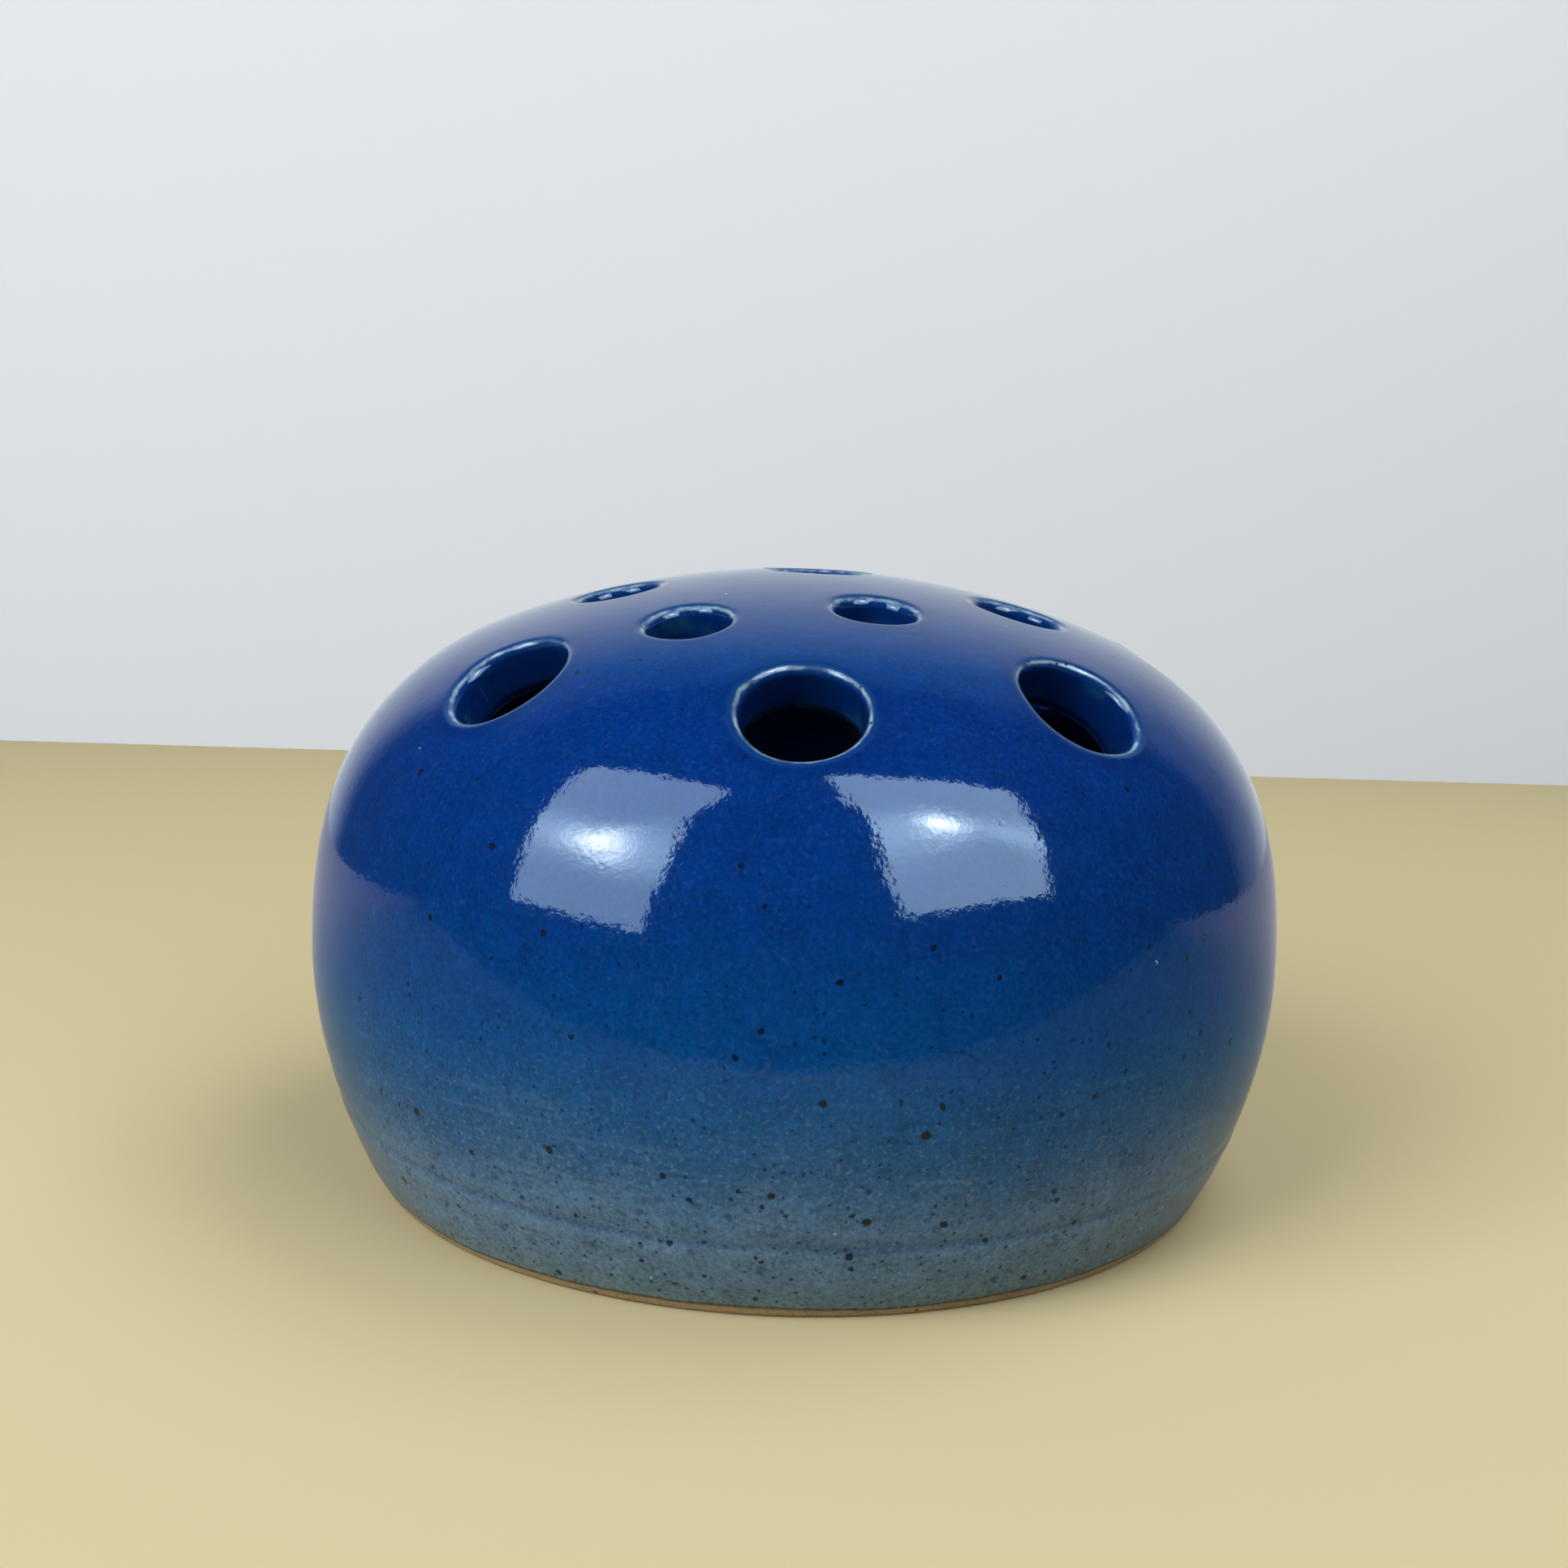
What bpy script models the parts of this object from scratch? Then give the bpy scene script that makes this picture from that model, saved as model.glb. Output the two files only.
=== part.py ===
"""Flower frog: a squat closed stoneware dome that holds water, with stem holes over its crown.

The piece is thrown as one closed form, so it is clay with a coat of glaze on each side:
  clay_body    the fired stoneware vessel: floor, wall, dome and the stem holes
  outer_glaze  the blue glaze over the outside, running down through every stem hole
  liner_glaze  the glaze poured round the inside, which makes the reservoir watertight

+Z is up, -Y is the front, and the origin is the centre of the foot on the table.
Shapes are drawn in millimetres under one empty, whose scale brings them to metres.
"""
import bpy
from math import cos, pi, radians, sin, tan
from mathutils import Vector
from mathutils.geometry import interpolate_bezier

MILLIMETRE = 0.001

# Outline of the finished outside, as (radius, height): foot, belly, shoulder, crown
FOOT_RADIUS = 52.3
BELLY_RADIUS = 60.0
BELLY_HEIGHT = 28.4
SHOULDER_RADIUS = 45.6
SHOULDER_HEIGHT = 62.7
HEIGHT = 74.4                   # of the whole outline; the crown hole takes off its very top
FOOT_LEAN = radians(57.6)       # wall's slope where it meets the table
SHOULDER_LEAN = radians(37.6)   # dome's slope at the shoulder point
FOOT_PULL = 6.5            # the pulls are lengths of the curve handles
BELLY_PULL_DOWN = 11.3
BELLY_PULL_UP = 17.0
SHOULDER_PULL_DOWN = 12.7
SHOULDER_PULL_UP = 11.3
CROWN_PULL = 15.4

# Layers of the wall, counted inwards from the finished surface
GLAZE = 0.6
GAP = 0.3                  # between neighbouring solids
CLAY = 4.5
LINER = 0.5
FLOOR = 6.5                # top of the clay floor above the table
FLOOR_FILLET = 9.0
BARE_FOOT = 1.2            # height of the unglazed clay edge
FOOT_CHAMFER = 0.4

# Stem holes: (azimuth in degrees from the front towards +X, distance from the axis, diameter)
# They were cut by hand, so the ones in a ring are not quite even.
OUTER_RING = [
    (0.2, 46.3, 12.8), (40.7, 45.9, 13.6), (86.0, 45.0, 13.6), (132.0, 45.7, 13.6),
    (179.0, 45.7, 13.6), (225.0, 45.7, 13.6), (268.0, 45.5, 13.6), (314.4, 44.9, 13.6),
]
INNER_RING = [
    (18.3, 25.7, 9.0), (64.9, 28.2, 10.2), (111.0, 27.5, 9.6), (156.0, 27.5, 9.6),
    (202.0, 27.5, 9.6), (247.0, 26.5, 9.6), (291.9, 24.0, 9.6), (336.3, 31.3, 9.0),
]
CROWN_HOLE = (80.0, 1.9, 12.2)
RIM_ROUNDING = 1.0
RIM_DROP_SHARE = 0.75           # mean drop of a rim round the hole, as a share of its largest
BORE_REACH = 11.0          # how far a bore's cutter runs into the dome
SLEEVE_REACH = 9.0         # and a glaze sleeve's, both past the inside of the clay
BORE_RISE = 3.0            # and above it

# Facets
TURN_STEPS = 36
BORE_STEPS = 16
WALL_POINTS = 5
SHOULDER_POINTS = 6
CROWN_POINTS = 6
RIM_POINTS = 3
FILLET_POINTS = 4
FINE_POINTS = 200

STONEWARE = (0.270, 0.155, 0.078)
COBALT = (0.004, 0.052, 0.205)
LINER_BLUE = (0.003, 0.035, 0.140)


def clear_scene():
    """Remove every object the file opened with."""
    for item in list(bpy.data.objects):
        bpy.data.objects.remove(item)


def add_millimetre_frame():
    """Add the empty that everything is parented to."""
    frame = bpy.data.objects.new("millimetre_frame", None)
    frame.scale = (MILLIMETRE, MILLIMETRE, MILLIMETRE)
    bpy.context.scene.collection.objects.link(frame)


def new_collection(name):
    """Make a collection under the scene."""
    collection = bpy.data.collections.new(name)
    bpy.context.scene.collection.children.link(collection)
    return collection


def fired_material(name, colour, roughness):
    """Make a Principled material of one colour."""
    material = bpy.data.materials.new(name)
    material.use_nodes = True
    shader = material.node_tree.nodes["Principled BSDF"]
    shader.inputs["Base Color"].default_value = (*colour, 1.0)
    shader.inputs["Roughness"].default_value = roughness
    shader.inputs["Metallic"].default_value = 0.0
    return material


def outline(wall=WALL_POINTS, shoulder=SHOULDER_POINTS, crown=CROWN_POINTS):
    """Return the finished outside from the crown down to the table, as (radius, height)."""
    foot = Vector((FOOT_RADIUS, 0.0))
    belly = Vector((BELLY_RADIUS, BELLY_HEIGHT))
    turn = Vector((SHOULDER_RADIUS, SHOULDER_HEIGHT))
    top = Vector((0.0, HEIGHT))
    foot_way = Vector((cos(FOOT_LEAN), sin(FOOT_LEAN)))
    turn_way = Vector((-cos(SHOULDER_LEAN), sin(SHOULDER_LEAN)))
    over = Vector((CROWN_PULL, 0.0))
    down = Vector((0.0, -BELLY_PULL_DOWN))
    up = Vector((0.0, BELLY_PULL_UP))
    crown_part = interpolate_bezier(top, top + over, turn + turn_way * SHOULDER_PULL_UP, turn, crown)
    below_turn = turn - turn_way * SHOULDER_PULL_DOWN
    shoulder_part = interpolate_bezier(turn, below_turn, belly + up, belly, shoulder)
    wall_part = interpolate_bezier(belly, belly + down, foot + foot_way * FOOT_PULL, foot, wall)
    return crown_part + shoulder_part[1:] + wall_part[1:]


def outward_normals(points):
    """Return the unit normal of a line that runs down the outer side, at each point."""
    normals = []
    for index in range(len(points)):
        before = points[max(index - 1, 0)]
        after = points[min(index + 1, len(points) - 1)]
        along = (after - before).normalized()
        normals.append(Vector((-along.y, along.x)))
    normals[0] = Vector((0.0, 1.0))
    return normals


def layer_line(depth, low):
    """Return the outline moved inwards by depth, from the axis down to the height low."""
    points = outline()
    moved = [point - normal * depth for point, normal in zip(points, outward_normals(points))]
    moved[0].x = 0.0
    line = [point for point in moved if point.y > low + GAP]
    last = line[-1]
    following = moved[len(line)]
    share = (last.y - low) / (last.y - following.y)
    line.append(last.lerp(following, share))
    return line


def hollow_line(depth, floor):
    """Return an inside line at depth, ending in a filleted floor on the axis."""
    line = layer_line(depth, floor + FLOOR_FILLET)
    edge = line[-1]
    slope = (edge - line[-2]).normalized()
    inner = Vector((edge.x - FLOOR_FILLET, floor))
    handle = FLOOR_FILLET / 2
    level = inner + Vector((handle, 0.0))
    sweep = interpolate_bezier(edge, edge + slope * handle, level, inner, FILLET_POINTS)
    return line + sweep[1:] + [Vector((0.0, floor))]


def turned(name, line, steps, collection):
    """Turn a line of (radius, height) round Z with a Screw modifier."""
    mesh = bpy.data.meshes.new(name)
    corners = [(point.x, 0.0, point.y) for point in line]
    edges = [(index, index + 1) for index in range(len(line) - 1)]
    mesh.from_pydata(corners, edges, [])
    item = bpy.data.objects.new(name, mesh)
    item.parent = bpy.data.objects["millimetre_frame"]
    collection.objects.link(item)
    screw = item.modifiers.new("turn", "SCREW")
    screw.steps = steps
    screw.render_steps = steps
    screw.use_merge_vertices = True
    screw.merge_threshold = 0.0001
    screw.use_smooth_shade = True
    return item


def as_cutter(item):
    """Show an object as a guide only."""
    item.hide_render = True
    item.display_type = "WIRE"
    return item


def cut(item, name, cutter=None, group=None):
    """Take a cutter, or every cutter in a collection, out of an object."""
    boolean = item.modifiers.new(name, "BOOLEAN")
    boolean.operation = "DIFFERENCE"
    boolean.solver = "EXACT"
    if group is None:
        boolean.object = cutter
    else:
        boolean.operand_type = "COLLECTION"
        boolean.collection = group


def stem_holes():
    """Return every stem hole as (azimuth, distance from the axis, radius)."""
    holes = []
    for azimuth, distance, diameter in [*OUTER_RING, *INNER_RING, CROWN_HOLE]:
        holes.append((radians(azimuth), distance, diameter / 2.0))
    return holes


def surface_at(distance):
    """Return the height and the unit normal of the finished dome at a distance from the axis."""
    fine = outline(FINE_POINTS, FINE_POINTS, FINE_POINTS)
    normals = outward_normals(fine)
    for index, point in enumerate(fine):
        if point.x >= distance:
            return point.y, normals[index]
    raise ValueError("a stem hole lies outside the dome")


def rim_drop(distance, radius):
    """Return how far a hole's rim lies below the tangent plane at its centre, on average."""
    height, normal = surface_at(distance)
    centre = Vector((distance, height))
    outer_height, _ = surface_at(distance + radius * normal.y)
    rim = Vector((distance + radius * normal.y, outer_height))
    return (centre - rim).dot(normal) * RIM_DROP_SHARE


def hole_profile(radius, drop, reach, rounded):
    """Return a bore cutter's outline from its top down, opening out over the rim if rounded."""
    if not rounded:
        mouth = [Vector((radius, BORE_RISE))]
    else:
        mouth = [Vector((radius + RIM_ROUNDING, BORE_RISE))]
        for step in range(RIM_POINTS + 1):
            angle = pi / 2 * step / RIM_POINTS
            across = radius + RIM_ROUNDING * (1.0 - sin(angle))
            height = -drop - RIM_ROUNDING * (1.0 - cos(angle))
            mouth.append(Vector((across, height)))
    end = [Vector((radius, -reach)), Vector((0.0, -reach))]
    return [Vector((0.0, BORE_RISE))] + mouth + end


def hole_cutters(name, extra, reach, rounded):
    """Make one cutter for each stem hole, square to the dome, and return their collection."""
    group = new_collection(name)
    for number, (azimuth, distance, radius) in enumerate(stem_holes(), 1):
        height, normal = surface_at(distance)
        profile = hole_profile(radius + extra, rim_drop(distance, radius), reach, rounded)
        cutter = as_cutter(turned(f"{name}_{number}", profile, BORE_STEPS, group))
        outward = Vector((sin(azimuth), -cos(azimuth), 0.0))
        facing = outward * normal.x + Vector((0.0, 0.0, normal.y))
        cutter.location = outward * distance + Vector((0.0, 0.0, height))
        cutter.rotation_mode = "QUATERNION"
        cutter.rotation_quaternion = facing.to_track_quat("Z", "Y")
    return group


def make_clay_body(parts, bores, reservoir):
    """Make the fired vessel: a flat foot with a bare edge, the wall, the dome and its holes."""
    line = layer_line(GLAZE + GAP, BARE_FOOT)
    flush = layer_line(0.0, BARE_FOOT)[-1]
    toe = Vector((FOOT_RADIUS + FOOT_CHAMFER / tan(FOOT_LEAN), FOOT_CHAMFER))
    sole = Vector((FOOT_RADIUS - FOOT_CHAMFER, 0.0))
    line += [flush, toe, sole, Vector((0.0, 0.0))]
    body = turned("clay_body", line, TURN_STEPS, parts)
    body.data.materials.append(fired_material("bare_stoneware", STONEWARE, 0.85))
    cut(body, "reservoir", cutter=reservoir)
    cut(body, "stem_holes", group=bores)


def foot_trimmer(cutters):
    """Make the slab that clears the glaze off the foot, a gap above the bare clay."""
    bpy.ops.mesh.primitive_cube_add(size=1.0)
    slab = as_cutter(bpy.context.object)
    slab.name = "foot_trimmer"
    slab.parent = bpy.data.objects["millimetre_frame"]
    slab.scale = (3 * BELLY_RADIUS, 3 * BELLY_RADIUS, 2 * FLOOR)
    slab.location.z = BARE_FOOT + GAP - FLOOR
    for home in list(slab.users_collection):
        home.objects.unlink(slab)
    cutters.objects.link(slab)
    return slab


def make_outer_glaze(parts, cutters, sleeves, bores, reservoir):
    """Make the outer coat with a sleeve of glaze down each stem hole."""
    line = outline() + [Vector((0.0, 0.0))]
    coat = turned("outer_glaze", line, TURN_STEPS, parts)
    coat.data.materials.append(fired_material("blue_glaze", COBALT, 0.12))
    core_line = layer_line(GLAZE, GLAZE)
    core_line.append(Vector((0.0, GLAZE)))
    core = as_cutter(turned("under_the_coat", core_line, TURN_STEPS, cutters))
    cut(core, "sleeves", group=sleeves)
    cut(coat, "core", cutter=core)
    cut(coat, "bare_foot", cutter=foot_trimmer(cutters))
    cut(coat, "reservoir", cutter=reservoir)
    cut(coat, "bores", group=bores)


def make_liner_glaze(parts, cutters, bores):
    """Make the liner, a thin coat over the inside of the wall and the floor."""
    depth = GLAZE + GAP + CLAY + GAP
    liner = turned("liner_glaze", hollow_line(depth, FLOOR + GAP), TURN_STEPS, parts)
    liner.data.materials.append(fired_material("liner_blue", LINER_BLUE, 0.15))
    inside = hollow_line(depth + LINER, FLOOR + GAP + LINER)
    hollow = as_cutter(turned("water_space", inside, TURN_STEPS, cutters))
    cut(liner, "hollow", cutter=hollow)
    cut(liner, "bores", group=bores)


def main():
    """Build the flower frog."""
    clear_scene()
    add_millimetre_frame()
    parts = new_collection("flower_frog")
    cutters = new_collection("cutters")
    reservoir_line = hollow_line(GLAZE + GAP + CLAY, FLOOR)
    reservoir = as_cutter(turned("clay_reservoir", reservoir_line, TURN_STEPS, cutters))
    clay_bores = hole_cutters("clay_bores", GLAZE + GAP, BORE_REACH, rounded=False)
    sleeves = hole_cutters("sleeve_bores", GLAZE, SLEEVE_REACH, rounded=False)
    bores = hole_cutters("finished_bores", 0.0, BORE_REACH, rounded=True)
    make_clay_body(parts, clay_bores, reservoir)
    make_outer_glaze(parts, cutters, sleeves, bores, reservoir)
    make_liner_glaze(parts, cutters, bores)


main()
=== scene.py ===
"""Looks of the flower frog: a squat wheel-thrown dome with stem holes, glazed cobalt blue.

Three pieces stand for the three CAD nodes:
  cobalt_glaze    the outer coat, down over the soft rims and through every stem hole
  blue_liner      the glaze inside, round the wall and over the floor
  stoneware_pot   the clay between them, bare where it meets the table

Shapes are worked out in millimetres and scaled to metres when the mesh is made.
+Z is up, -Y is the front, and the origin is the centre of the foot on the table.
"""
from math import cos, hypot, pi, radians, sin, sqrt

import bmesh
import bpy
import numpy as np
from mathutils import Matrix, Vector, noise
from mathutils.geometry import delaunay_2d_cdt, interpolate_bezier


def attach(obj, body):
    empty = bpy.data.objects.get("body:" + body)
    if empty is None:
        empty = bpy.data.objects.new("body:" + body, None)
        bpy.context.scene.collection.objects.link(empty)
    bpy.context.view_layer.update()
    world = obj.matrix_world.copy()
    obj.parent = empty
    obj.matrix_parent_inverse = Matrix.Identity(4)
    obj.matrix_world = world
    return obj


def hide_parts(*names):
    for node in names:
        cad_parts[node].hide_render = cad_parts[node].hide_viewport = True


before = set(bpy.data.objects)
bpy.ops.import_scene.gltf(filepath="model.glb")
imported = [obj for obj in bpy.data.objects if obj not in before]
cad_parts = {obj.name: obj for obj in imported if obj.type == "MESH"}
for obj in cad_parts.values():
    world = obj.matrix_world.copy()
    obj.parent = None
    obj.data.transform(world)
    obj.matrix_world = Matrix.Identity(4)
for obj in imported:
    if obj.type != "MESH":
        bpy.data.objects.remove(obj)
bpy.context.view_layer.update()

MILLIMETRE = 0.001

# Outline of the finished outside, as (radius, height): foot, belly, shoulder, crown
FOOT_RADIUS = 52.3
BELLY_RADIUS = 60.0
BELLY_HEIGHT = 28.4
SHOULDER_RADIUS = 45.6
SHOULDER_HEIGHT = 62.7
HEIGHT = 74.4
FOOT_LEAN = radians(57.6)
SHOULDER_LEAN = radians(37.6)
FOOT_PULL = 6.5
BELLY_PULL_DOWN = 11.3
BELLY_PULL_UP = 17.0
SHOULDER_PULL_DOWN = 12.7
SHOULDER_PULL_UP = 11.3
CROWN_PULL = 15.4
LINE_POINTS = 400               # samples along each of its three curves

# Layers of the wall, from the finished outside inwards
GLAZE = 0.5
CLAY_OUT = 0.75
CLAY_IN = 5.55
WALL = 6.2                      # outside of the glaze to the inside of the liner
LINER = 0.45
FLOOR = 7.3                     # top of the liner on the floor
FLOOR_FILLET = 9.0

# Stem holes: (azimuth in degrees from the front towards +X, distance from the axis, diameter)
OUTER_RING = [
    (0.2, 46.3, 12.8), (40.7, 45.9, 13.6), (86.0, 45.0, 13.6), (132.0, 45.7, 13.6),
    (179.0, 45.7, 13.6), (225.0, 45.7, 13.6), (268.0, 45.5, 13.6), (314.4, 44.9, 13.6),
]
INNER_RING = [
    (18.3, 25.7, 9.0), (64.9, 28.2, 10.2), (111.0, 27.5, 9.6), (156.0, 27.5, 9.6),
    (202.0, 27.5, 9.6), (247.0, 26.5, 9.6), (291.9, 24.0, 9.6), (336.3, 31.3, 9.0),
]
CROWN_HOLE = (80.0, 1.9, 12.2)
RIM_ACROSS = 1.4                # the soft rounding of a rim, out over the dome
RIM_DOWN = 1.35                 # and down into the bore
INNER_ROUND = 0.5               # rounding where a bore breaks through inside
HOLE_STEPS = 60
RIM_STEPS = 9
BORE_STEPS = 5
AROUND_RIM = (0.35, 0.85, 1.5, 2.2)     # rings of mesh on the dome round each rim

# Mesh of the dome and the wall
GRID = 1.5
LINER_GRID = 3.0
LINER_ROWS = 45
TURN_STEPS = 280
AZIMUTHS = np.arange(TURN_STEPS) * 2 * pi / TURN_STEPS
FAR_FROM_RIM = 20.0             # given to every point of the walls as its distance from a rim
CROWN_EDGE = 57.6               # radius where the dome's mesh turns into rings
ROW = 1.5
FINE_ROW = 0.42
FINE_BELOW = 19.0               # the rows are fine below this height, for the trimming line
GLAZE_EDGE = 1.15               # height of the glaze's lower edge, on average
EDGE_WANDER = 0.22
THIN_EDGE = 2.2                 # the coat thins out over this height above its edge
THINNEST = 0.2                  # down to this share of its thickness

# The clay under the coat
POT_TOP = 50.0                  # it ends here, out of sight between glaze and liner
BARE_DEPTH = 0.12               # its depth under the outline where it is bare
BARE_HEIGHT = (1.6, 4.0)        # between these heights it sinks to its depth under the glaze
POT_FOOT = [(0.10, 0.34), (-0.12, 0.13), (-0.55, 0.0), (-1.6, 0.0), (-3.2, 0.15), (-8.0, 0.22)]
SOLE_CENTRE = (20.0, 0.26)      # POT_FOOT before it is (beyond the foot's radius, height)

# Traces of the throwing, as millimetres off the true outline
BELT_HEIGHT = 9.0
BELT_TILT = 3.1
BELT_LOW_SIDE = radians(10.0)
BELT_DEPTH = 0.12
BELT_WIDTH = 0.80
RIDGE_UNDER = (1.6, 0.9, 0.45)  # how far under the belt, width, share of its depth
GROOVE_OVER = (3.4, 1.1, 0.28)  # how far over the belt, width, share of its depth
WAVE = 0.10
RIPPLE = 0.013
SINK = 0.02                     # keeps the highest waves inside the true outline
FLAT = (0.05, 0.05, 1.0)        # squeezes noise into level lines


# ---- turned lines

class Line:
    """A turned outline from the crown down, sampled densely: radius, height, normal, arc length."""

    def __init__(self, points):
        self.points = np.asarray(points, dtype=float)
        self.radius, self.height = self.points.T
        steps = np.hypot(np.diff(self.radius), np.diff(self.height))
        self.arc = np.concatenate(([0.0], np.cumsum(steps)))
        along = np.gradient(self.points, self.arc, axis=0)
        along /= np.linalg.norm(along, axis=1)[:, None]
        self.normal = np.column_stack((-along[:, 1], along[:, 0]))
        self.widest = int(np.argmax(self.radius)) + 1

    def at_arc(self, arc):
        """Return radius and height at an arc length."""
        return np.interp(arc, self.arc, self.radius), np.interp(arc, self.arc, self.height)

    def dome_height(self, radius):
        """Return the height of the dome at a radius."""
        return np.interp(radius, self.radius[:self.widest], self.height[:self.widest])

    def dome_arc(self, radius):
        """Return the arc length from the crown to a radius on the dome."""
        return np.interp(radius, self.radius[:self.widest], self.arc[:self.widest])

    def dome_normal(self, radius):
        """Return the normal, as (outwards, up), at a radius on the dome."""
        out = np.interp(radius, self.radius[:self.widest], self.normal[:self.widest, 0])
        return out, np.sqrt(1.0 - out * out)

    def moved_in(self, depth):
        """Return the line moved inwards by a depth, which may differ from point to point."""
        moved = self.points - self.normal * np.reshape(depth, (-1, 1))
        moved[0, 0] = 0.0
        return Line(moved)


def finished_outline():
    """Return the outside of the glaze as a line."""
    foot = Vector((FOOT_RADIUS, 0.0))
    belly = Vector((BELLY_RADIUS, BELLY_HEIGHT))
    turn = Vector((SHOULDER_RADIUS, SHOULDER_HEIGHT))
    top = Vector((0.0, HEIGHT))
    foot_way = Vector((cos(FOOT_LEAN), sin(FOOT_LEAN)))
    turn_way = Vector((-cos(SHOULDER_LEAN), sin(SHOULDER_LEAN)))
    over = Vector((CROWN_PULL, 0.0))
    down = Vector((0.0, -BELLY_PULL_DOWN))
    up = Vector((0.0, BELLY_PULL_UP))
    above_turn = turn + turn_way * SHOULDER_PULL_UP
    below_turn = turn - turn_way * SHOULDER_PULL_DOWN
    crown_part = interpolate_bezier(top, top + over, above_turn, turn, LINE_POINTS)
    shoulder_part = interpolate_bezier(turn, below_turn, belly + up, belly, LINE_POINTS)
    wall_part = interpolate_bezier(belly, belly + down, foot + foot_way * FOOT_PULL, foot, LINE_POINTS)
    return Line([tuple(p) for p in crown_part + shoulder_part[1:] + wall_part[1:]])


def hollow_line(outside, depth, floor):
    """Return the inside of the vessel at a depth under its outline, closed by a filleted floor."""
    wall = outside.moved_in(depth)
    kept = wall.points[wall.height > floor + FLOOR_FILLET]
    edge = Vector(kept[-1])
    slope = (edge - Vector(kept[-2])).normalized()
    inner = Vector((edge.x - FLOOR_FILLET, floor))
    handle = FLOOR_FILLET / 2
    sweep = interpolate_bezier(edge, edge + slope * handle, inner + Vector((handle, 0.0)), inner, 40)
    return Line([*kept, *[tuple(p) for p in sweep[1:]], (0.0, floor)])


def around_axis(azimuth, radius, height):
    """Return points at azimuths from the front towards +X."""
    parts = np.broadcast_arrays(radius * np.sin(azimuth), -radius * np.cos(azimuth), height)
    return np.stack(parts, axis=-1)


# ---- stem holes

class Hole:
    """A stem hole bored square to the dome, cut by hand and so not quite round."""

    def __init__(self, outside, azimuth, distance, diameter, dice):
        out, up = outside.dome_normal(distance)
        outward = np.array((sin(azimuth), -cos(azimuth), 0.0))
        self.centre = outward * distance + np.array((0.0, 0.0, outside.dome_height(distance)))
        self.axis = outward * out + np.array((0.0, 0.0, up))
        self.across = np.array((cos(azimuth), sin(azimuth), 0.0))
        self.upslope = np.cross(self.axis, self.across)
        self.angles = np.arange(HOLE_STEPS) * 2 * pi / HOLE_STEPS
        turn = dice.uniform(0.0, 2 * pi, 4)
        oval = 0.008 * np.cos(2 * self.angles + turn[0]) + 0.005 * np.cos(3 * self.angles + turn[1])
        self.radius = diameter / 2 * (1.0 + oval)
        self.softness = 1.0 + 0.10 * np.cos(self.angles + turn[2]) + 0.05 * np.cos(4 * self.angles + turn[3])

    def reach(self, line, beyond):
        """Return how far along the axis the line's dome lies, at a distance beyond the bore."""
        rho = self.radius + beyond
        spokes = np.outer(rho * np.cos(self.angles), self.across)
        spokes += np.outer(rho * np.sin(self.angles), self.upslope)
        start = self.centre + spokes
        travel = np.zeros(HOLE_STEPS)
        for _ in range(12):
            point = start + travel[:, None] * self.axis
            radius = np.hypot(point[:, 0], point[:, 1])
            miss = point[:, 2] - line.dome_height(radius)
            slope = (line.dome_height(radius + 0.05) - line.dome_height(radius - 0.05)) / 0.1
            outwards = (point[:, :2] @ self.axis[:2]) / np.maximum(radius, 0.01)
            travel -= miss / (self.axis[2] - slope * outwards)
        return start, travel

    def ring(self, line, beyond, lift):
        """Return a ring of points over the line's dome, beyond the bore and lifted along the axis."""
        start, travel = self.reach(line, beyond)
        return start + (travel + lift)[:, None] * self.axis

    def gap_to(self, points):
        """Return each point's distance from the bore, measured square to its axis."""
        offset = points - self.centre
        along = offset @ self.axis
        return np.linalg.norm(offset - np.outer(along, self.axis), axis=1) - self.radius.mean()


def stem_holes(outside):
    """Return every stem hole."""
    dice = np.random.default_rng(17)
    holes = []
    for azimuth, distance, diameter in [*OUTER_RING, *INNER_RING, CROWN_HOLE]:
        holes.append(Hole(outside, radians(azimuth), distance, diameter, dice))
    return holes


def outer_rings(hole, outside, inside):
    """Return a hole's rings in the outer coat, from the bottom of the bore out onto the dome.

    With each ring comes its distance from the edge of the bore, negative down the bore.
    """
    bottom_start, bottom = hole.reach(inside, 0.0)
    bottom = bottom + INNER_ROUND
    _, top = hole.reach(outside, 0.0)
    top = top - RIM_DOWN * hole.softness
    rings = []
    for step in range(BORE_STEPS):
        share = step / BORE_STEPS
        travel = bottom + (top - bottom) * share
        rings.append((bottom_start + travel[:, None] * hole.axis, float((travel - top).mean())))
    distance = 0.0
    for step in range(RIM_STEPS + 1):
        angle = pi / 2 * step / RIM_STEPS
        beyond = RIM_ACROSS * hole.softness * (1.0 - cos(angle))
        down = RIM_DOWN * hole.softness * (1.0 - sin(angle))
        rings.append((hole.ring(outside, beyond, -down), distance))
        middle = angle + pi / 4 / RIM_STEPS
        distance += hypot(RIM_ACROSS * sin(middle), RIM_DOWN * cos(middle)) * pi / 2 / RIM_STEPS
    edge = rings[-1][1]
    for beyond in AROUND_RIM:
        rings.append((hole.ring(outside, RIM_ACROSS * hole.softness + beyond, 0.0), edge + beyond))
    return rings


def inner_rings(hole, inside):
    """Return a hole's rings in the liner, from the bore out over the underside of the dome."""
    rings = []
    for step in range(5):
        angle = pi / 2 * step / 4
        beyond = INNER_ROUND * (1.0 - cos(angle))
        lift = INNER_ROUND * (1.0 - sin(angle))
        rings.append((hole.ring(inside, beyond, lift), beyond))
    for beyond in (0.4, 1.0):
        rings.append((hole.ring(inside, INNER_ROUND + beyond, 0.0), INNER_ROUND + beyond))
    return rings


# ---- skins

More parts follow.
